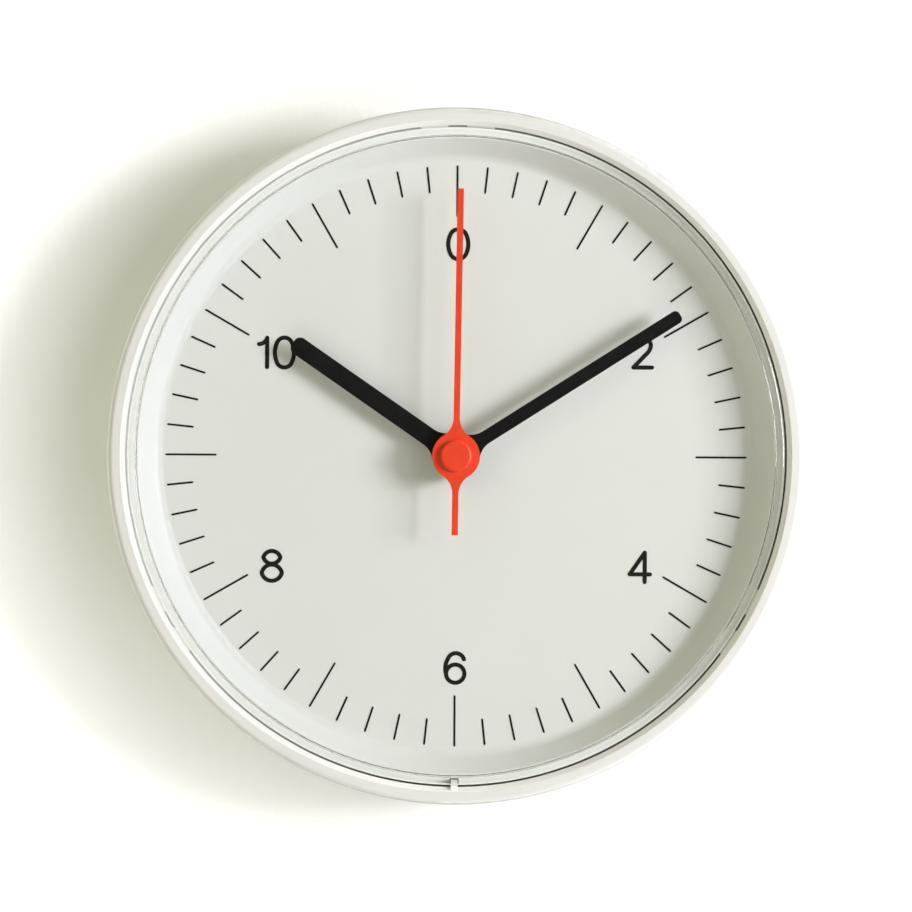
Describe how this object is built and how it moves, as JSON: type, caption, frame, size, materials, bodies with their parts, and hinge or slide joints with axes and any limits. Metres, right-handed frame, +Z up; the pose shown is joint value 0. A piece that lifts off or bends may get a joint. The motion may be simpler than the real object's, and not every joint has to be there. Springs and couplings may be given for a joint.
{
  "type": "wall clock",
  "caption": "Round battery wall clock: white deep-rimmed case, raised clear lens, sunken dial, geared hour, minute and second hands, rear battery bay, setting knob and hanging loop.",
  "frame": {"origin": "where the axis of the hands meets the plane of the wall, which the back edge of the case touches", "axes": "+Z is up towards the top of the dial, +Y points into the wall along the axis of the hands, so the dial faces -Y, and +X is to the right as seen from the front"},
  "size_m": [0.265, 0.041, 0.265],
  "materials": {
    "white_plastic": "satin moulded white",
    "clear_lens": "clear moulded cover",
    "black_print": "printed ink",
    "black_hand": "black lacquer on stamped aluminium",
    "red_hand": "red-orange lacquer",
    "housing_plastic": "moulded black",
    "screw_steel": "zinc plated",
    "plate_plastic": "moulded natural white",
    "board": "brown laminate",
    "epoxy": "cast epoxy",
    "nickel": "nickel plated",
    "bobbin_plastic": "moulded green",
    "copper_wire": "enamelled copper wire",
    "soft_iron": "annealed soft iron",
    "rubber": "matt",
    "brass": "turned",
    "steel_pin": "ground",
    "gear_plastic": "moulded acetal",
    "knob_plastic": "moulded red",
    "battery_sleeve": "printed steel sleeve"
  },
  "bodies": {
    "case": {"case_shell": "white_plastic", "dial_dish": "white_plastic", "dish_screws": "screw_steel", "lens": "clear_lens", "hour_marks": "black_print", "minute_marks": "black_print", "numerals": "black_print", "front_housing": "housing_plastic", "rear_housing": "housing_plastic", "middle_plate": "plate_plastic", "train_bridge": "plate_plastic", "movement_screws": "screw_steel", "circuit_board": "board", "chip_cover": "epoxy", "crystal_can": "nickel", "coil_bobbin": "bobbin_plastic", "coil_winding": "copper_wire", "coil_core": "soft_iron", "stator": "soft_iron", "positive_contact": "nickel", "negative_contact": "nickel", "rubber_washer": "rubber", "nut_washer": "brass", "fixing_nut": "brass"},
    "rotor": {"rotor_magnet": "steel_pin", "rotor_pinion": "gear_plastic"},
    "intermediate": {"intermediate_wheel": "gear_plastic"},
    "seconds": {"second_wheel": "gear_plastic", "second_arbor": "steel_pin", "second_hand": "red_hand", "hub_cap": "red_hand"},
    "third": {"third_wheel": "gear_plastic"},
    "minutes": {"centre_wheel": "gear_plastic", "minute_arbor": "brass", "minute_hand": "black_hand"},
    "motion": {"motion_wheel": "gear_plastic"},
    "hours": {"hour_wheel": "gear_plastic", "hour_hand": "black_hand"},
    "setting": {"setting_pinion": "gear_plastic", "setting_knob": "knob_plastic"},
    "battery": {"battery_jacket": "battery_sleeve", "battery_terminal": "nickel"}
  },
  "joints": [
    {"name": "minute_turn", "type": "hinge", "parent": "case", "child": "minutes", "pos_m": [0, 0, 0], "axis": [0, 1, 0], "continuous": true},
    {"name": "hour_turn", "type": "hinge", "parent": "case", "child": "hours", "pos_m": [0, 0, 0], "axis": [0, 1, 0], "continuous": true},
    {"name": "second_turn", "type": "hinge", "parent": "case", "child": "seconds", "pos_m": [0, 0, 0], "axis": [0, 1, 0], "continuous": true},
    {"name": "third_turn", "type": "hinge", "parent": "case", "child": "third", "pos_m": [0.00846, 0, 0.00308], "axis": [0, 1, 0], "continuous": true},
    {"name": "intermediate_turn", "type": "hinge", "parent": "case", "child": "intermediate", "pos_m": [-0.00299, 0, 0.00822], "axis": [0, 1, 0], "continuous": true},
    {"name": "rotor_turn", "type": "hinge", "parent": "case", "child": "rotor", "pos_m": [-0.00616, 0, 0.01502], "axis": [0, 1, 0], "continuous": true},
    {"name": "motion_turn", "type": "hinge", "parent": "case", "child": "motion", "pos_m": [-0.0075, 0, 0], "axis": [0, 1, 0], "continuous": true},
    {"name": "setting_turn", "type": "hinge", "parent": "case", "child": "setting", "pos_m": [-0.01455, 0, -0.00257], "axis": [0, 1, 0], "continuous": true},
    {"name": "battery_removal", "type": "slide", "parent": "case", "child": "battery", "axis": [0, 1, 0], "range_m": [0, 0.025]}
  ],
  "couplings": [
    {"joint": "hour_turn", "follows": "minute_turn", "ratio": 0.083333},
    {"joint": "second_turn", "follows": "minute_turn", "ratio": 60},
    {"joint": "third_turn", "follows": "minute_turn", "ratio": -8},
    {"joint": "intermediate_turn", "follows": "minute_turn", "ratio": -360},
    {"joint": "rotor_turn", "follows": "minute_turn", "ratio": 1800},
    {"joint": "motion_turn", "follows": "minute_turn", "ratio": -0.33333},
    {"joint": "setting_turn", "follows": "minute_turn", "ratio": 1}
  ]
}
